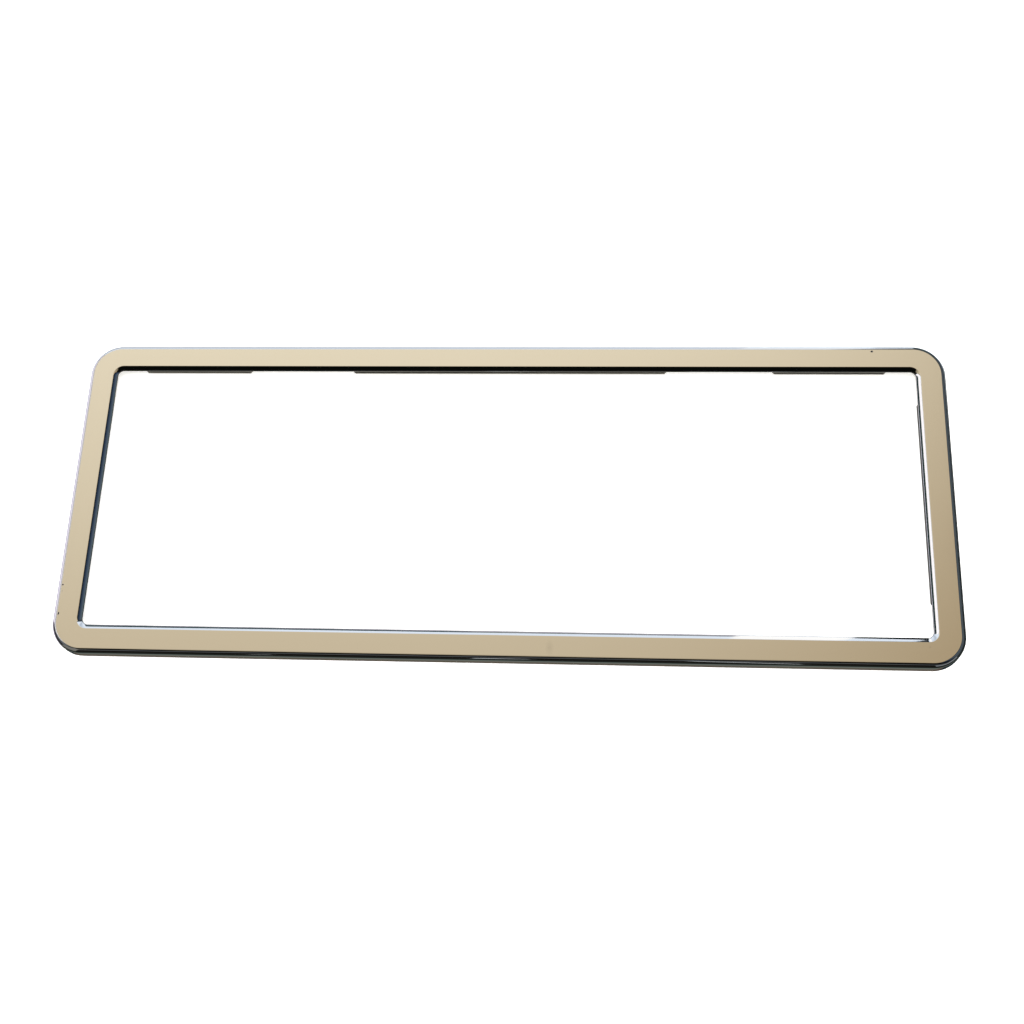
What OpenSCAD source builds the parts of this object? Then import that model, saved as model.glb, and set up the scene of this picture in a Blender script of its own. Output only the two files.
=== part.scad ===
// Number plate holder: a one-piece plated plastic frame that laps the edge of a
// car's number plate. It lies face up: +Z out of the face, +Y the plate's top.

/* [Number plate] */
// Width of the plate that the frame holds
plate_w = 372; // [200:1:540]
// Height of the plate
plate_h = 134; // [90:1:300]
// Thickness of the plate
plate_t = 1; // [0.6:0.1:2]
// Side play between the plate's edge and the ribs that centre it
plate_gap = 0.4; // [0.1:0.1:1.5]
// Play between the plate and the face or the tabs
slot_gap = 0.2; // [0.1:0.05:0.6]

/* [Rails] */
// Width of the left and right rails, from the back rim's edge to the window
side_rail_w = 13.1; // [11:0.1:25]
// Width of the top and bottom rails
long_rail_w = 12.7; // [11:0.1:25]
// How far the left and right rails lap over the plate
side_lap = 7.2; // [2:0.1:8]
// How far the top and bottom rails lap over the plate
long_lap = 7; // [2:0.1:8]
// Depth of the frame from face to back rim
depth = 6.4; // [6:0.1:14]
// Radius of the outer corners at the back rim
corner_r = 14; // [8:0.5:24]

/* [Section] */
// Thickness of the flat face
face_t = 1.5; // [1.2:0.1:2]
// Thickness of the outer wall
wall_t = 1.8; // [1.2:0.1:2.2]
// Radius that rolls the face over into the outer wall
roll_r = 2; // [0.8:0.1:2.4]
// Lean of the outer wall that lets it leave its mould, in degrees
draft = 1.5; // [0.5:0.5:3]
// Radius of the inside corner between face and outer wall
fillet_r = 0.8; // [0.3:0.1:1]
// Chamfer on the outer edge of the back rim
rim_chamfer = 0.3; // [0.1:0.1:0.5]

/* [Window lip] */
// Width of the rolled lip round the window
lip_w = 2.2; // [1.6:0.1:3]
// Slope of the lip towards the window, in degrees
lip_slope = 27; // [15:1:35]
// Radius that bends the face over into the lip
lip_bend_r = 0.5; // [0.2:0.1:1.5]
// Radius of the lip's nose
nose_r = 0.5; // [0.2:0.05:0.6]
// Radius of the window's corners
window_r = 2.5; // [1:0.5:6]

/* [Tabs behind the plate] */
// Thickness of each tab
tab_t = 0.9; // [0.6:0.1:1.4]
// Length of the middle tab on the top and bottom rails
middle_tab_l = 141; // [20:1:160]
// Length of the tabs near the ends of the top and bottom rails
end_tab_l = 49.5; // [10:0.5:60]
// Distance from an end tab to the end of the window
end_tab_inset = 12.3; // [6:0.1:20]
// Length of the tab on the right rail
right_tab_l = 91.5; // [20:0.5:110]
// Slant at both ends of each tab
tab_slant = 0.9; // [0.3:0.1:2]

/* [Centring ribs] */
// Thickness of each rib
rib_t = 1.2; // [0.8:0.1:2]
// Number of ribs on the top and bottom rails
long_ribs = 7; // [2:1:12]
// Number of ribs on the left and right rails
side_ribs = 3; // [2:1:5]
// Distance from the last rib to the end of the window
rib_inset = 15; // [8:1:25]
// Height of the ribs' feet above the back rim
rib_foot = 1; // [0.5:0.1:2]

/* [Hidden] */
$fn = 96;
window_w = plate_w - 2 * side_lap;
window_h = plate_h - 2 * long_lap;
frame_w = window_w + 2 * side_rail_w;
frame_h = window_h + 2 * long_rail_w;
face_under = depth - face_t;
// Depth to which a piece of the moulding is sunk in the one that carries it
seat = 0.5;

// Centre of the roll: as far from the leaning wall as from the face
roll_z = depth - roll_r;
roll_x = roll_z * tan(draft) + roll_r / cos(draft);
// Centre of the inside fillet
fillet_z = face_under - fillet_r;
fillet_x = wall_t + fillet_z * tan(draft) + fillet_r / cos(draft);
// The section runs on past roll and fillet, so that it seats in the flat of the face
section_w = max(roll_x, fillet_x) + seat;
// The lip bends out of the face, falls in a straight slope and turns down in its nose
bend_end_x = lip_w - lip_bend_r * sin(lip_slope);
bend_end_z = depth - lip_bend_r * (1 - cos(lip_slope));
nose_start_x = nose_r * (1 - sin(lip_slope));
nose_start_z = bend_end_z - (bend_end_x - nose_start_x) * tan(lip_slope);
nose_z = nose_start_z - nose_r * cos(lip_slope);
lip_under = min(face_under, nose_z);
// The slot for the plate lies between the lip and the tabs
tab_top = lip_under - plate_t - slot_gap;
tab_under = tab_top - tab_t;

// Section of the outer wall with the roll into the face, less the hollow behind it.
// x runs out from the back rim's outline, y is the height.
module wall_section() {
    difference() {
        union() {
            polygon([
                [-rim_chamfer, 0],
                [-rim_chamfer * tan(draft), rim_chamfer],
                [-roll_x + roll_r * cos(draft), roll_z + roll_r * sin(draft)],
                [-roll_x, roll_z],
                [-roll_x, depth],
                [-section_w, depth],
                [-section_w, 0]
            ]);
            intersection() {
                translate([-roll_x, roll_z]) circle(r = roll_r);
                translate([-roll_x, roll_z]) square(roll_r);
            }
        }
        polygon([
            [-wall_t, -seat],
            [-wall_t, 0],
            [-fillet_x + fillet_r * cos(draft), fillet_z + fillet_r * sin(draft)],
            [-fillet_x, fillet_z],
            [-fillet_x, face_under],
            [-section_w - seat, face_under],
            [-section_w - seat, -seat]
        ]);
        translate([-fillet_x, fillet_z]) circle(r = fillet_r);
    }
}

// Section of the lip: a bend out of the face, a straight slope and a round nose, with
// a strip that seats it in the flat of the face. x runs out from the window's outline.
module lip_section() {
    polygon([
        [0, lip_under],
        [0, nose_z],
        [nose_start_x, nose_start_z],
        [bend_end_x, bend_end_z],
        [lip_w, depth],
        [lip_w + seat, depth],
        [lip_w + seat, lip_under]
    ]);
    intersection() {
        translate([lip_w, depth - lip_bend_r]) circle(r = lip_bend_r);
        translate([bend_end_x, bend_end_z]) square([lip_w - bend_end_x, depth - bend_end_z]);
    }
    intersection() {
        translate([nose_r, nose_z]) circle(r = nose_r);
        translate([0, nose_z]) square([nose_start_x, nose_start_z - nose_z]);
    }
}

// A section carried round a rectangle of width w and height h with corners of radius r
module carried_round(w, h, r) {
    for (turn = [0 : 3]) {
        across = turn % 2 == 0 ? w / 2 : h / 2;
        run = (turn % 2 == 0 ? h / 2 : w / 2) - r;
        rotate([0, 0, 90 * turn]) {
            rotate([90, 0, 0])
                linear_extrude(height = 2 * run, center = true)
                    translate([across, 0]) children();
            translate([across - r, run, 0])
                rotate_extrude(angle = 90)
                    translate([r, 0]) children();
        }
    }
}

module rounded_rectangle(w, h, r) {
    square([w, h - 2 * r], center = true);
    square([w - 2 * r, h], center = true);
    for (x = [-1, 1], y = [-1, 1])
        translate([x * (w / 2 - r), y * (h / 2 - r)]) circle(r = r);
}

// The flat of the face, from the start of the roll to the window's lip
module face_flat() {
    translate([0, 0, face_under])
        linear_extrude(height = face_t)
            difference() {
                rounded_rectangle(frame_w - 2 * roll_x, frame_h - 2 * roll_x, corner_r - roll_x);
                rounded_rectangle(window_w + 2 * lip_w, window_h + 2 * lip_w, window_r + lip_w);
            }
}

// A ledge that keeps the plate against the face. It reaches from the wall of a rail
// of width rail_w, at y = 0, to the window, with slanted ends.
module tab(len, rail_w) {
    root = rail_w - wall_t + seat;
    translate([0, 0, tab_under])
        linear_extrude(height = tab_t)
            polygon([
                [-len / 2, root],
                [-len / 2, tab_slant],
                [-len / 2 + tab_slant, 0],
                [len / 2 - tab_slant, 0],
                [len / 2, tab_slant],
                [len / 2, root]
            ]);
}

// A rib between wall and face. Its straight edge stops the plate's edge,
// which the rail laps by lap.
module rib(rail_w, lap) {
    plate_side = lap + plate_gap;
    wall_side = rail_w - wall_t + seat;
    rotate([90, 0, 90])
        linear_extrude(height = rib_t, center = true)
            polygon([
                [plate_side, face_under + seat],
                [plate_side, tab_under - seat],
                [wall_side, rib_foot],
                [wall_side, face_under + seat]
            ]);
}

// Tabs and ribs of the top rail, or of the bottom rail where side is -1
module long_rail_inside(side) {
    end_tab_x = window_w / 2 - end_tab_inset - end_tab_l / 2;
    rib_step = (window_w - 2 * rib_inset) / (long_ribs - 1);
    scale([1, side, 1])
        translate([0, window_h / 2, 0]) {
            tab(middle_tab_l, long_rail_w);
            for (x = [-end_tab_x, end_tab_x])
                translate([x, 0, 0]) tab(end_tab_l, long_rail_w);
            for (i = [0 : long_ribs - 1])
                translate([-window_w / 2 + rib_inset + i * rib_step, 0, 0]) rib(long_rail_w, long_lap);
        }
}

// Ribs of the left and right rails, and the tab of the right rail.
// The left rail has no tab, so the plate slides in from there.
module side_rails_inside() {
    rib_step = (window_h - 2 * rib_inset) / (side_ribs - 1);
    translate([window_w / 2, 0, 0])
        rotate([0, 0, -90]) tab(right_tab_l, side_rail_w);
    for (turn = [-90, 90])
        rotate([0, 0, turn])
            translate([0, window_w / 2, 0])
                for (i = [0 : side_ribs - 1])
                    translate([-window_h / 2 + rib_inset + i * rib_step, 0, 0]) rib(side_rail_w, side_lap);
}

module plate_frame() {
    color("#d8caa8")
        union() {
            carried_round(frame_w, frame_h, corner_r) wall_section();
            carried_round(window_w, window_h, window_r) lip_section();
            face_flat();
            for (side = [-1, 1])
                long_rail_inside(side);
            side_rails_inside();
        }
}

plate_frame();
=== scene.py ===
import math
import bmesh
import bpy
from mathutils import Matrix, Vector


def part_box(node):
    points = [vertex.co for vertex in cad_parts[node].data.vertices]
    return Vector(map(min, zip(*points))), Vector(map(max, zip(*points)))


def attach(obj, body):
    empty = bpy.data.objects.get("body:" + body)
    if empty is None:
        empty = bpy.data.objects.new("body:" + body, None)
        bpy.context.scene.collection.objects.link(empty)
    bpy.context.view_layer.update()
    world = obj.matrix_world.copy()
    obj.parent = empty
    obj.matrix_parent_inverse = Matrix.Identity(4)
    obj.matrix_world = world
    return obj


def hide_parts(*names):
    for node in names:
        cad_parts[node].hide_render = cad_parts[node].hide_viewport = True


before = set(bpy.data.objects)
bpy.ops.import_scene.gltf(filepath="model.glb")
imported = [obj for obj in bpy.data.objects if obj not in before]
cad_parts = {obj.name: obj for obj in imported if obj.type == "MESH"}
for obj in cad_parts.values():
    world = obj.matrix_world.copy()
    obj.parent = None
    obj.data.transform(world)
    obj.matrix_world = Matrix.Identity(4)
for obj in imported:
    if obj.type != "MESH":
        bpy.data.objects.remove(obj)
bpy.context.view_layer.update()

# The holder's shell
# One ABS injection moulding: a flat face rolled over into an outer wall, with a rolled lip round
# the window. Its section is carried round the back rim's outline and the window's, as one ring.
MM = 0.001
lowest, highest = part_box("plate_frame")
frame_w = (highest[0] - lowest[0]) / MM
frame_h = (highest[1] - lowest[1]) / MM
depth = (highest[2] - lowest[2]) / MM
side_rail_w = 13.1
long_rail_w = 12.7
window_w = frame_w - 2 * side_rail_w
window_h = frame_h - 2 * long_rail_w
corner_r = 14
corner_steps = 28
window_r = 2.5
face_t = 1.5
face_under = depth - face_t
wall_t = 1.8
draft = math.radians(1.5)
roll_r = 2
roll_steps = 18
fillet_r = 0.8
fillet_steps = 8
rim_edge_r = 0.3
rim_edge_steps = 4
lip_w = 2.2
lip_slope = 27
lip_crown = 3
slope_steps = 8
lip_bend_r = 0.5
bend_steps = 9
nose_r = 0.5
nose_steps = 10
under_edge_r = 0.1
under_edge_steps = 3
# Narrow strips where a curve meets a flat keep the flat's shading flat
shade_strip = 0.12


def arc(centre, radius, start, end, steps):
    """Points from the angle start to end, in degrees, round a centre."""
    turns = [math.radians(start + (end - start) * i / steps) for i in range(steps + 1)]
    return [(centre[0] + radius * math.cos(t), centre[1] + radius * math.sin(t)) for t in turns]


def outer_section():
    """Points as inset from the rim and height: the inside fillet, the rim's edge, the roll."""
    lean = math.degrees(draft)
    roll_z = depth - roll_r
    roll_x = roll_z * math.tan(draft) + roll_r / math.cos(draft)
    fillet_z = face_under - fillet_r
    fillet_x = wall_t + fillet_z * math.tan(draft) + fillet_r / math.cos(draft)
    inside = arc((fillet_x, fillet_z), fillet_r, 90, 180 - lean, fillet_steps)
    inner_edge = arc((wall_t - rim_edge_r, rim_edge_r), rim_edge_r, 0, -90, rim_edge_steps)
    outer_edge = arc((rim_edge_r, rim_edge_r), rim_edge_r, -90, -180, rim_edge_steps)
    over = arc((roll_x, roll_z), roll_r, 180 - lean, 90, roll_steps)
    return inside, inner_edge + outer_edge, over


def lip_section():
    """Points as distance out from the window and height, from the flat face to the underside."""
    first, last = lip_slope - lip_crown, lip_slope + lip_crown
    first_sin, last_sin = math.sin(math.radians(first)), math.sin(math.radians(last))
    bend = arc((lip_w, depth - lip_bend_r), lip_bend_r, 90, 90 + first, bend_steps)
    bend_x, bend_z = bend[-1]
    crown_r = (bend_x - nose_r * (1 - last_sin)) / (last_sin - first_sin)
    crown_centre = (bend_x + crown_r * first_sin, bend_z - crown_r * math.cos(math.radians(first)))
    slope = arc(crown_centre, crown_r, 90 + first, 90 + last, slope_steps)
    nose_z = slope[-1][1] - nose_r * math.cos(math.radians(last))
    nose = arc((nose_r, nose_z), nose_r, 90 + last, 180, nose_steps)
    under_centre = (under_edge_r, face_under + under_edge_r)
    under_edge = arc(under_centre, under_edge_r, 180, 270, under_edge_steps)
    return bend + slope[1:] + nose[1:] + under_edge


def loop_points(w, h, r, z):
    """One turn round a rounded rectangle at height z, in millimetres."""
    points = []
    for turn, (sx, sy) in enumerate(((1, 1), (-1, 1), (-1, -1), (1, -1))):
        centre = (sx * (w / 2 - r), sy * (h / 2 - r))
        points += [(x, y, z) for x, y in arc(centre, r, 90 * turn, 90 * turn + 90, corner_steps)]
    return points


def rim_loop(x, z):
    """The turn that lies x inside the back rim's outline."""
    return loop_points(frame_w - 2 * x, frame_h - 2 * x, corner_r - x, z)


def window_loop(x, z):
    """The turn that lies x outside the window's outline."""
    return loop_points(window_w + 2 * x, window_h + 2 * x, window_r + x, z)


def shell_loops():
    """The turns that make the shell, in order round its section, with 1 for those behind the face."""
    inside, rim, over = outer_section()
    lip = lip_section()
    outer = rim + over + [(over[-1][0] + shade_strip, depth)]
    inner = [(lip_w + shade_strip, depth)] + lip
    back = [(inside[0][0] + shade_strip, face_under)] + inside
    loops = [(rim_loop(x, z), 0) for x, z in outer]
    loops += [(window_loop(x, z), 0) for x, z in inner]
    loops.append((window_loop(lip[-1][0] + shade_strip, face_under), 1))
    loops += [(rim_loop(x, z), 1) for x, z in back]
    return loops


def add_shell(mesh, recess):
    """Joins the turns with quads into a closed ring."""
    rings = []
    for points, deep in shell_loops():
        ring = [mesh.verts.new(Vector(p) * MM) for p in points]
        for v in ring:
            v[recess] = deep
        rings.append(ring)
    for a, b in zip(rings, rings[1:] + rings[:1]):
        for i in range(len(a)):
            j = (i + 1) % len(a)
            mesh.faces.new((a[i], a[j], b[j], b[i]))


# Ledges and ribs behind the face
# Ledges of the same moulding keep the plate against the face, and short ribs stop its edges.
# The left rail has ribs only, because the plate goes in from there.
plate_t = 1
slot_gap = 0.2
plate_gap = 0.4
side_lap = 7.2
long_lap = 7
tab_t = 0.9
tab_slant = 0.9
middle_tab_l = 141
end_tab_l = 49.5
end_tab_inset = 12.3
right_tab_l = 91.5
rib_t = 1.2
long_ribs = 7
side_ribs = 3
rib_inset = 15
rib_foot = 1
# How deep a ledge or rib is sunk in the wall that carries it
seat = 0.5
edge_round = 0.09
edge_steps = 3
tab_under = face_under - plate_t - slot_gap - tab_t
end_tab_x = window_w / 2 - end_tab_inset - end_tab_l / 2


def add_prism(mesh, recess, outline, push, place):
    """A flat outline pushed through by a thickness, with rounded edges. place gives real points."""
    first = [mesh.verts.new(place(Vector(p))) for p in outline]
    second = [mesh.verts.new(place(Vector(p) + Vector(push))) for p in outline]
    count = len(outline)
    faces = [mesh.faces.new(first), mesh.faces.new(list(reversed(second)))]
    for i in range(count):
        j = (i + 1) % count
        faces.append(mesh.faces.new((first[j], first[i], second[i], second[j])))
    edges = list(dict.fromkeys(e for f in faces for e in f.edges))
    made = bmesh.ops.bevel(mesh, geom=edges, offset=edge_round * MM, segments=edge_steps,
                           affect="EDGES")
    for f in faces + made["faces"]:
        if f.is_valid:
            for v in f.verts:
                v[recess] = 1


def add_tab(mesh, recess, length, rail_w, place):
    """A ledge with slanted ends, from the wall of its rail to the window."""
    root = rail_w - wall_t + seat
    half = length / 2
    outline = [(-half, root), (-half, tab_slant), (-half + tab_slant, 0),
               (half - tab_slant, 0), (half, tab_slant), (half, root)]
    add_prism(mesh, recess, [(x, y, tab_under) for x, y in outline], (0, 0, tab_t), place)


def add_rib(mesh, recess, along, rail_w, lap, place):
    """A rib between wall and face. Its straight edge stops the plate."""
    plate_side = lap + plate_gap
    wall_side = rail_w - wall_t + seat
    outline = [(plate_side, face_under + seat), (plate_side, tab_under - seat),
               (wall_side, rib_foot), (wall_side, face_under + seat)]
    points = [(along - rib_t / 2, y, z) for y, z in outline]
    add_prism(mesh, recess, points, (rib_t, 0, 0), place)


def from_window(turn, half, along=0):
    """Places points given in mm from the middle of a window edge. turn 0 is the top edge."""
    c, s = round(math.cos(turn * math.pi / 2)), round(math.sin(turn * math.pi / 2))

    def place(p):
        x, y = p.x + along, p.y + half
        return Vector((c * x - s * y, s * x + c * y, p.z)) * MM
    return place


def add_inside(mesh, recess):
    """All ledges and ribs: the two long rails, then the side rails."""
    for turn in (0, 2):
        place = from_window(turn, window_h / 2)
        add_tab(mesh, recess, middle_tab_l, long_rail_w, place)
        for x in (-end_tab_x, end_tab_x):
            add_tab(mesh, recess, end_tab_l, long_rail_w, from_window(turn, window_h / 2, x))
        for i in range(long_ribs):
            along = -window_w / 2 + rib_inset + i * (window_w - 2 * rib_inset) / (long_ribs - 1)
            add_rib(mesh, recess, along, long_rail_w, long_lap, place)
    add_tab(mesh, recess, right_tab_l, side_rail_w, from_window(3, window_w / 2))
    for turn in (1, 3):
        place = from_window(turn, window_w / 2)
        for i in range(side_ribs):
            along = -window_h / 2 + rib_inset + i * (window_h - 2 * rib_inset) / (side_ribs - 1)
            add_rib(mesh, recess, along, side_rail_w, side_lap, place)


def frame_moulding():
    """The whole moulding as one piece: shell, ledges and ribs."""
    mesh = bmesh.new()
    recess = mesh.verts.layers.float.new("recess")
    add_shell(mesh, recess)
    add_inside(mesh, recess)
    bmesh.ops.recalc_face_normals(mesh, faces=mesh.faces)
    for f in mesh.faces:
        f.smooth = True
    data = bpy.data.meshes.new("plated_frame")
    mesh.to_mesh(data)
    mesh.free()
    piece = bpy.data.objects.new("plated_frame", data)
    bpy.context.scene.collection.objects.link(piece)
    even = piece.modifiers.new("even shading", "WEIGHTED_NORMAL")
    even.mode = "FACE_AREA"
    even.weight = 60
    return piece


# Chrome plate on ABS
# Copper, nickel and a bright chromium flash over the moulded skin: a near mirror that keeps the
# moulding's slow waviness, hazier behind the face, with a few dark nicks and faint smudges.
chrome_colour = "#d3d2cf"
polish_roughness = (0.035, 0.055)
hazy_colour = "#9a9994"
hazy_roughness = 0.34
hazy_metal = 0.9
waviness = 38 * MM
waviness_height = 0.004 * MM
# The plate's grain is drawn coarser than it is, so that it shows
grain = 1.6 * MM
grain_height = 0.00012 * MM
haze_patch = 55 * MM
# A noise keeps mostly between these two values
noise_low, noise_high = 0.3, 0.7
nick_colour = "#1c1a17"
nick_roughness = 0.7
nick_metal = 0.2
# Marks weaker than this stay metal, and only darken the plate
bare_from = 0.2
ragged_grain = 0.35 * MM
ragged_reach = 0.3
mark_edge = 1.05
# Share of a mark's reach inside which it has its full strength
nick_solid = 0.75
smudge_solid = 0.1
# Middle of each mark on the face, its half length along x and y, all in mm, and its strength
nicks = [
    ((160.4, 69.6), (0.6, 0.5), 1.0),
    ((-189.2, -42.8), (0.4, 0.42), 1.0),
    ((-189.0, -45.7), (0.2, 0.22), 0.7),
    ((-189.2, -55.7), (0.36, 0.65), 1.0),
]
smudges = [
    ((21.9, -67.2), (1.9, 3.6), 0.1),
    ((176.6, -64.2), (0.5, 0.35), 0.12),
    ((186.2, -67.4), (0.35, 0.35), 0.12),
]


def linear(colour):
    """An sRGB hex colour as linear red, green, blue and alpha."""
    parts = [int(colour[i:i + 2], 16) / 255 for i in (1, 3, 5)]
    return [c / 12.92 if c <= 0.04045 else ((c + 0.055) / 1.055) ** 2.4 for c in parts] + [1]


def add(tree, kind, inputs=None, **settings):
    """Adds a node. inputs maps a socket's name or number to a value or to a socket that feeds it."""
    node = tree.nodes.new(kind)
    for name, value in settings.items():
        setattr(node, name, value)
    for name, value in (inputs or {}).items():
        if isinstance(value, bpy.types.NodeSocket):
            tree.links.new(value, node.inputs[name])
        else:
            node.inputs[name].default_value = value
    return node


def empty_material(name):
    material = bpy.data.materials.new(name)
    material.use_nodes = True
    material.node_tree.nodes.clear()
    return material


def mark_cover(tree, place, ragged, mark, solid):
    """How much of the plate one mark covers at each point, with a ragged edge."""
    (x, y), (half_x, half_y), strength = mark
    middle = (x * MM, y * MM, depth * MM)
    half = (half_x * MM, half_y * MM, max(half_x, half_y) * MM)
    local = add(tree, "ShaderNodeVectorMath", {0: place, 1: middle}, operation="SUBTRACT")
    shaped = add(tree, "ShaderNodeVectorMath", {0: local.outputs[0], 1: half}, operation="DIVIDE")
    away = add(tree, "ShaderNodeVectorMath", {0: shaped.outputs[0]}, operation="LENGTH")
    jagged = add(tree, "ShaderNodeMath", {0: away.outputs["Value"], 1: ragged}, operation="ADD")
    return add(tree, "ShaderNodeMapRange", {
        "Value": jagged.outputs[0], "From Min": mark_edge, "From Max": solid,
        "To Min": 0, "To Max": strength}).outputs["Result"]


def chrome_plated_abs():
    """The plate. A Mix node takes numbers in its sockets 2 and 3, and colours in 6 and 7."""
    material = empty_material("chrome_plated_abs")
    tree = material.node_tree
    place = add(tree, "ShaderNodeTexCoord").outputs["Object"]
    slow = add(tree, "ShaderNodeTexNoise", {"Vector": place, "Scale": 1 / waviness, "Detail": 1})
    fine = add(tree, "ShaderNodeTexNoise", {"Vector": place, "Scale": 1 / grain, "Detail": 2})
    wavy = add(tree, "ShaderNodeBump", {"Height": slow.outputs["Fac"], "Distance": waviness_height})
    skin = add(tree, "ShaderNodeBump", {
        "Height": fine.outputs["Fac"], "Distance": grain_height, "Normal": wavy.outputs["Normal"]})

    rough = add(tree, "ShaderNodeTexNoise", {"Vector": place, "Scale": 1 / ragged_grain, "Detail": 2})
    ragged = add(tree, "ShaderNodeMapRange", {
        "Value": rough.outputs["Fac"], "To Min": -ragged_reach, "To Max": ragged_reach})
    marks = [(mark, nick_solid) for mark in nicks] + [(mark, smudge_solid) for mark in smudges]
    covers = [mark_cover(tree, place, ragged.outputs["Result"], *mark) for mark in marks]
    worn = covers[0]
    for cover in covers[1:]:
        worn = add(tree, "ShaderNodeMath", {0: worn, 1: cover}, operation="MAXIMUM").outputs[0]

    recess = add(tree, "ShaderNodeAttribute", attribute_name="recess").outputs["Fac"]
    patch = add(tree, "ShaderNodeTexNoise", {"Vector": place, "Scale": 1 / haze_patch, "Detail": 3})
    polish = add(tree, "ShaderNodeMapRange", {
        "Value": patch.outputs["Fac"], "From Min": noise_low, "From Max": noise_high,
        "To Min": polish_roughness[0], "To Max": polish_roughness[1]})
    dull = add(tree, "ShaderNodeMix", {0: recess, 2: polish.outputs["Result"], 3: hazy_roughness})
    roughness = add(tree, "ShaderNodeMix", {0: worn, 2: dull.outputs[0], 3: nick_roughness})
    plate = add(tree, "ShaderNodeMix", {0: recess, 6: linear(chrome_colour), 7: linear(hazy_colour)},
                data_type="RGBA")
    colour = add(tree, "ShaderNodeMix", {0: worn, 6: plate.outputs[2], 7: linear(nick_colour)},
                 data_type="RGBA")
    bright = add(tree, "ShaderNodeMapRange", {
        "Value": worn, "From Min": bare_from, "To Min": 1, "To Max": nick_metal})
    metal = add(tree, "ShaderNodeMix", {0: recess, 2: bright.outputs["Result"], 3: hazy_metal})
    shader = add(tree, "ShaderNodeBsdfPrincipled", {
        "Base Color": colour.outputs[2], "Metallic": metal.outputs[0],
        "Roughness": roughness.outputs[0], "Normal": skin.outputs["Normal"]})
    add(tree, "ShaderNodeOutputMaterial", {"Surface": shader.outputs[0]})
    return material


moulding = frame_moulding()
moulding.data.materials.append(chrome_plated_abs())
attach(moulding, "root")
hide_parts("plate_frame")

# The floor and the backdrop
# A plain pale table top, and round it a white paper wall that closes the view from low down.
floor_r = 2.4
backdrop_h = 1.6
round_steps = 96
floor_glow = 0.66
backdrop_glow = 0.6
paper_colour = "#f7f7f5"
# The fibres are drawn coarser than they are, so that they show
paper_fibre = 1.5 * MM
fibre_height = 0.02 * MM


def pale_paper(name, glow):
    """Matt white paper that glows a little, so that it stays even and white."""
    material = empty_material(name)
    tree = material.node_tree
    white = linear(paper_colour)
    place = add(tree, "ShaderNodeTexCoord").outputs["Object"]
    fibre = add(tree, "ShaderNodeTexNoise", {"Vector": place, "Scale": 1 / paper_fibre, "Detail": 1})
    tooth = add(tree, "ShaderNodeBump", {"Height": fibre.outputs["Fac"], "Distance": fibre_height})
    matt = add(tree, "ShaderNodeBsdfDiffuse", {"Color": white, "Normal": tooth.outputs["Normal"]})
    lit = add(tree, "ShaderNodeEmission", {"Color": white, "Strength": glow})
    both = add(tree, "ShaderNodeAddShader", {0: matt.outputs[0], 1: lit.outputs[0]})
    add(tree, "ShaderNodeOutputMaterial", {"Surface": both.outputs[0]})
    material.cycles.emission_sampling = "NONE"
    return material


def stage_mesh(name, points, faces, material):
    data = bpy.data.meshes.new(name)
    data.from_pydata(points, [], faces)
    data.materials.append(material)
    thing = bpy.data.objects.new(name, data)
    bpy.context.scene.collection.objects.link(thing)
    return thing


turns = [math.tau * i / round_steps for i in range(round_steps)]
foot = [(floor_r * math.cos(t), floor_r * math.sin(t), 0) for t in turns]
head = [(x, y, backdrop_h) for x, y, z in foot]
strips = [(i, (i + 1) % round_steps, round_steps + (i + 1) % round_steps, round_steps + i)
          for i in range(round_steps)]
floor = stage_mesh("floor", foot, [list(range(round_steps))], pale_paper("floor_paper", floor_glow))
floor.visible_glossy = False
backdrop = stage_mesh("backdrop", foot + head, strips, pale_paper("backdrop_paper", backdrop_glow))
backdrop.visible_glossy = False

# What the chrome mirrors
# A mirror finish shows its room, so the room is plain cards that only reflections see: a warm
# lit ceiling for the flat face, and the pale and dark walls that draw the bent edges.
room_x = (-1, 1.5)
room_y = (-1.5, 1)
room_h = 1.65
# Some cards hang this far in front of the one behind them
proud = 0.01
black = "#0b0c0a"


def glow_card(name, corners, colour="#ffffff", strength=1):
    """A glowing card that only reflections see. Returns its node tree and its glow."""
    material = empty_material(name)
    tree = material.node_tree
    shine = add(tree, "ShaderNodeEmission", {"Color": linear(colour), "Strength": strength})
    add(tree, "ShaderNodeOutputMaterial", {"Surface": shine.outputs[0]})
    material.cycles.emission_sampling = "NONE"
    card = stage_mesh(name, corners, [(0, 1, 2, 3)], material)
    for sight in ("visible_camera", "visible_diffuse", "visible_transmission", "visible_shadow"):
        setattr(card, sight, False)
    return tree, shine


def flat_card(name, x, y, z, **look):
    corners = [(x[0], y[0], z), (x[1], y[0], z), (x[1], y[1], z), (x[0], y[1], z)]
    return glow_card(name, corners, **look)


def standing_card(name, start, end, z, **look):
    corners = [(*start, z[0]), (*end, z[0]), (*end, z[1]), (*start, z[1])]
    return glow_card(name, corners, **look)


def share_of_way(tree, axis, start, end):
    """A socket that runs from 0 at one place along an axis to 1 at another, both in metres."""
    place = add(tree, "ShaderNodeTexCoord").outputs["Object"]
    along = add(tree, "ShaderNodeSeparateXYZ", {0: place}).outputs[axis]
    return add(tree, "ShaderNodeMapRange", {
        "Value": along, "From Min": start, "From Max": end}).outputs["Result"]


def shade(card, axis, *stops):
    """Runs a card's colour along an axis. Each stop is a place in metres and its colour."""
    tree, shine = card
    start, end = stops[0][0], stops[-1][0]
    ramp = add(tree, "ShaderNodeValToRGB", {0: share_of_way(tree, axis, start, end)})
    ramp.color_ramp.elements[0].color = linear(stops[0][1])
    ramp.color_ramp.elements[1].color = linear(stops[-1][1])
    for place, colour in stops[1:-1]:
        ramp.color_ramp.elements.new((place - start) / (end - start)).color = linear(colour)
    tree.links.new(ramp.outputs["Color"], shine.inputs["Color"])


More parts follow.
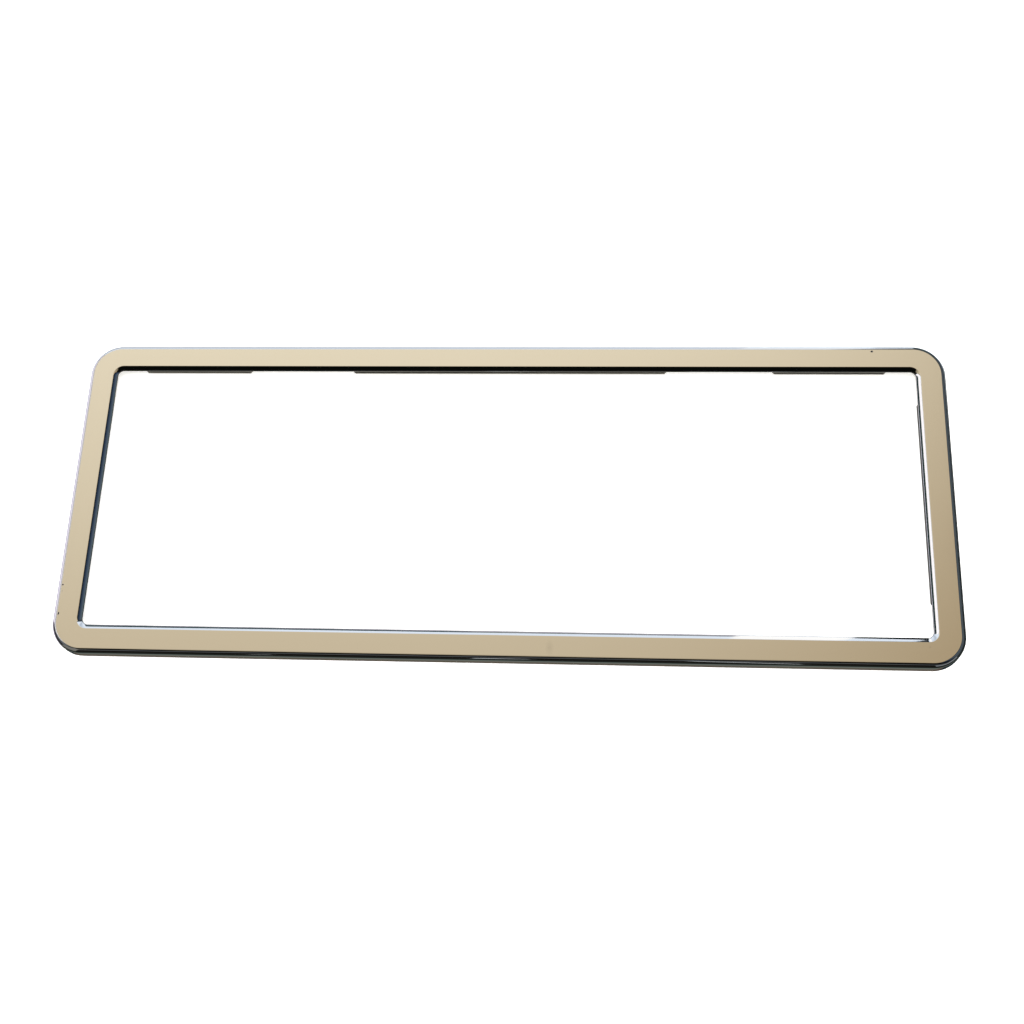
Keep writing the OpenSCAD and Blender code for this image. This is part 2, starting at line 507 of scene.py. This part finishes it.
# The ceiling is lit from the rear left, and falls off towards the right and the front
ceiling_x = (-0.95, 0.62)
ceiling_y = (-0.3, 0.98)
warm_light = "#fff2d7"
warm_shade = "#bda988"
right_fall_x = (-0.9, 0.6)
right_fall_power = 3.4
right_fall_share = 0.47
front_fall_y = (0.92, 0.36)
front_fall_share = 0.53
ceiling_glow = 1.18
front_glow = 0.35 * ceiling_glow
full_glow_y = 0.28
tree, shine = flat_card("warm_ceiling", ceiling_x, ceiling_y, room_h)
to_right = share_of_way(tree, "X", *right_fall_x)
bent = add(tree, "ShaderNodeMath", {0: to_right, 1: right_fall_power}, operation="POWER")
right_part = add(tree, "ShaderNodeMath", {0: bent.outputs[0], 1: right_fall_share},
                 operation="MULTIPLY")
to_front = share_of_way(tree, "Y", *front_fall_y)
gloom = add(tree, "ShaderNodeMath", {0: to_front, 1: front_fall_share, 2: right_part.outputs[0]},
            operation="MULTIPLY_ADD")
tone = add(tree, "ShaderNodeMix", {0: gloom.outputs[0], 6: linear(warm_light), 7: linear(warm_shade)},
           data_type="RGBA")
tree.links.new(tone.outputs[2], shine.inputs["Color"])
glow = add(tree, "ShaderNodeMapRange", {
    "Value": share_of_way(tree, "Y", ceiling_y[0], full_glow_y),
    "To Min": front_glow, "To Max": ceiling_glow})
tree.links.new(glow.outputs["Result"], shine.inputs["Strength"])

# Its two front corners are cut off in black, and black and slate go on round it
under = room_h - proud
glow_card("dark_corner_right",
          [(0.3, -0.31, under), (0.63, -0.31, under), (0.63, 0.1, under), (0.62, 0.1, under)], black)
glow_card("dark_corner_left",
          [(-0.96, -0.31, under), (-0.65, -0.31, under), (-0.95, 0.05, under), (-0.96, 0.05, under)],
          black)
shade(flat_card("dark_over_camera", room_x, (room_y[0], ceiling_y[0]), room_h),
      "Y", (-1.5, "#7d8186"), (-1.28, "#3a3b3c"), (-1.1, black), (-0.3, black))
shade(flat_card("slate_over_right", (ceiling_x[1], room_x[1]), ceiling_y, room_h),
      "X", (0.6, "#0d120f"), (0.63, "#0d120f"), (0.75, "#2f4058"), (0.96, "#5b6a7d"),
      (1.14, "#707c7d"), (1.5, "#3a4145"))

# The table top as the low edges see it, just under the floor, which reflections don't see. Its light
# and shade are painted on: pale at the rear and left, painted shade on the right, in the window and
# in front.
table_z = -0.5 * MM
table_x = (-1.5, 1.6)
rim_x = frame_w / 2 * MM
rim_y = frame_h / 2 * MM
flat_card("pale_table_rear", table_x, (rim_y, 1.2), table_z, colour="#cbd8e6", strength=1.45)
flat_card("pale_table_left", (table_x[0], -rim_x), (-rim_y, rim_y), table_z, colour="#ddd6ef")
# Painted shade: the table on the right, dark as the edges reflect it
flat_card("shaded_table_right", (rim_x, table_x[1]), (-rim_y, rim_y), table_z, colour="#2b3236")
# Painted shade on the table in the window, with a painted pale band under the top rail for the ledges
# to reflect
shade(flat_card("shaded_table_in_window", (-rim_x, rim_x), (-rim_y, rim_y), table_z),
      "Y", (-0.06, "#27343a"), (0.046, "#3c4648"), (0.055, "#d8d2c6"), (0.06, "#d8d2c6"))
# Painted shade on the table in front of the frame, darker towards it, with a painted grey strip and
# brown close to the bottom rail
shade(flat_card("shaded_table_in_front", table_x, (-1.6, -rim_y), table_z),
      "Y", (-0.6, "#55534e"), (-0.2, "#1d1d19"), (-0.0772, "#252a26"), (-0.0762, "#7d8d88"),
      (-0.0745, "#7d8d88"), (-0.0737, "#7a746a"), (-0.073, "#66594f"))

# The front wall is dark, with three slanting streaks of light on it
panel_x = 0.6
shade(standing_card("dark_front", (room_x[0], room_y[0]), (panel_x, room_y[0]), (0, room_h)),
      "Z", (0, "#151512"), (1.05, "#1f1e1b"), (1.25, "#454648"), (1.65, "#7d8186"))
streak_y = room_y[0] + proud
for name, left, right, left_z, right_z in (
        ("streak_right", 0.17, 0.31, (0.8, 1.3), (0.02, 0.3)),
        ("streak_middle", -0.16, -0.08, (0.03, 0.5), (0.2, 0.36)),
        ("streak_left", -0.49, -0.455, (0.02, 0.1), (0.06, 0.2))):
    glow_card(name, [(left, streak_y, left_z[0]), (right, streak_y, right_z[0]),
                     (right, streak_y, right_z[1]), (left, streak_y, left_z[1])], "#c3cad0")

# The side walls: slate on the right, and grey, dark and pale on the left, with two rails
panel_y = -0.66
dark_y = (-0.5, 0.12)
shade(standing_card("slate_right", (room_x[1], panel_y), (room_x[1], room_y[1]), (0, room_h)),
      "Z", (0, "#15191c"), (0.4, "#1d2327"), (0.8, "#5b646b"), (1.25, "#5b646b"), (1.65, "#20272c"))
standing_card("grey_left", (room_x[0], room_y[0]), (room_x[0], dark_y[0]), (0, room_h),
              colour="#8b8a86")
shade(standing_card("dark_left", (room_x[0], dark_y[0]), (room_x[0], dark_y[1]), (0, room_h)),
      "Z", (0, "#15181a"), (0.35, "#232527"), (0.7, "#767b80"), (1.0, "#767b80"), (1.65, "#232527"))
shade(standing_card("pale_left", (room_x[0], dark_y[1]), (room_x[0], room_y[1]), (0, room_h),
                    strength=1.6),
      "Z", (0, "#e4e0f2"), (0.45, "#e4e0f2"), (0.7, "#b9bac7"), (0.92, "#fbf9ff"), (1.65, "#fbf9ff"))
rail_x = room_x[0] + proud
standing_card("teal_left", (rail_x, 0.72), (rail_x, room_y[1]), (0.3, 0.44), colour="#3f5459")
standing_card("dark_rail_left", (rail_x, 0.2), (rail_x, room_y[1]), (0.95, 1.3), colour="#2c3f40")

# Two grey panels meet in the corner between the front and the right wall
for name, start, end in (("grey_panel_front", (panel_x, room_y[0]), (room_x[1], room_y[0])),
                         ("grey_panel_right", (room_x[1], room_y[0]), (room_x[1], panel_y))):
    shade(standing_card(name, start, end, (0, room_h)),
          "Z", (0, "#1c2125"), (0.26, "#41474d"), (0.46, "#a4abb2"), (0.62, "#b6bdc4"),
          (0.8, "#6a7076"), (1.65, "#2e3439"))

# The rear wall: pale, with a strip of teal and grey over lilac, then white, black and dark
dark_x = 0.42
shade(standing_card("pale_rear", (room_x[0], room_y[1]), (dark_x, room_y[1]), (0, room_h),
                    strength=1.5),
      "Z", (0, "#dfeafa"), (0.52, "#dfeafa"), (0.78, "#b0bccc"), (1.0, "#dfeafa"), (1.65, "#dfeafa"))
shade(standing_card("dark_rear", (dark_x, room_y[1]), (room_x[1], room_y[1]), (0, room_h)),
      "Z", (0, "#131516"), (0.42, "#131516"), (0.8, "#5b646b"), (1.25, "#5b646b"), (1.65, "#20272c"))
rear_y = room_y[1] - proud
for name, left, right, left_z, right_z, colour, strength in (
        ("teal_rear", room_x[0], -0.13, (0.305, 0.445), (0.328, 0.4), "#3f5459", 1),
        ("grey_rear", -0.13, 0.19, (0.328, 0.4), (0.337, 0.384), "#8f9696", 1),
        ("lilac_rear", room_x[0], 0.19, (0.05, 0.305), (0.05, 0.337), "#cfccdc", 1.1),
        ("white_rear", 0.19, 0.33, (0.3, 0.62), (0.3, 0.62), "#fdfdff", 1.55),
        ("black_rear", 0.33, 0.43, (0.1, 0.36), (0.1, 0.395), "#151819", 1)):
    glow_card(name, [(left, rear_y, left_z[0]), (right, rear_y, right_z[0]),
                     (right, rear_y, right_z[1]), (left, rear_y, left_z[1])], colour, strength)

# Light on the floor
# One broad soft lamp overhead and a low world light. The lamp stays out of the chrome's
# reflections, which the cards above make.
lamp = bpy.data.lights.new("soft_overhead", "AREA")
lamp.shape = "SQUARE"
lamp.size = 2.2
lamp.energy = 60
lamp_object = bpy.data.objects.new("soft_overhead", lamp)
lamp_object.location = (-0.2, 0.35, 2.0)
lamp_object.visible_glossy = False
bpy.context.scene.collection.objects.link(lamp_object)

world = bpy.data.worlds.new("room")
world.use_nodes = True
air = world.node_tree.nodes["Background"]
air.inputs["Color"].default_value = linear("#8f8b84")
air.inputs["Strength"].default_value = 0.5
bpy.context.scene.world = world
bpy.context.scene.view_settings.view_transform = "Standard"

# The camera
# It stands in front of the bottom rail and looks down on the face, turned a little as the
# photograph is. Its place and turn come from a fit to the frame's edges.
camera = bpy.data.objects.new("camera", bpy.data.cameras.new("camera"))
camera.location = (50.25 * MM, -212.25 * MM, (555.18 + depth) * MM)
camera.rotation_euler = (math.radians(20.346), math.radians(3.982), math.radians(2.063))
camera.data.sensor_width = 36
camera.data.lens = 48.52
bpy.context.scene.collection.objects.link(camera)
bpy.context.scene.camera = camera
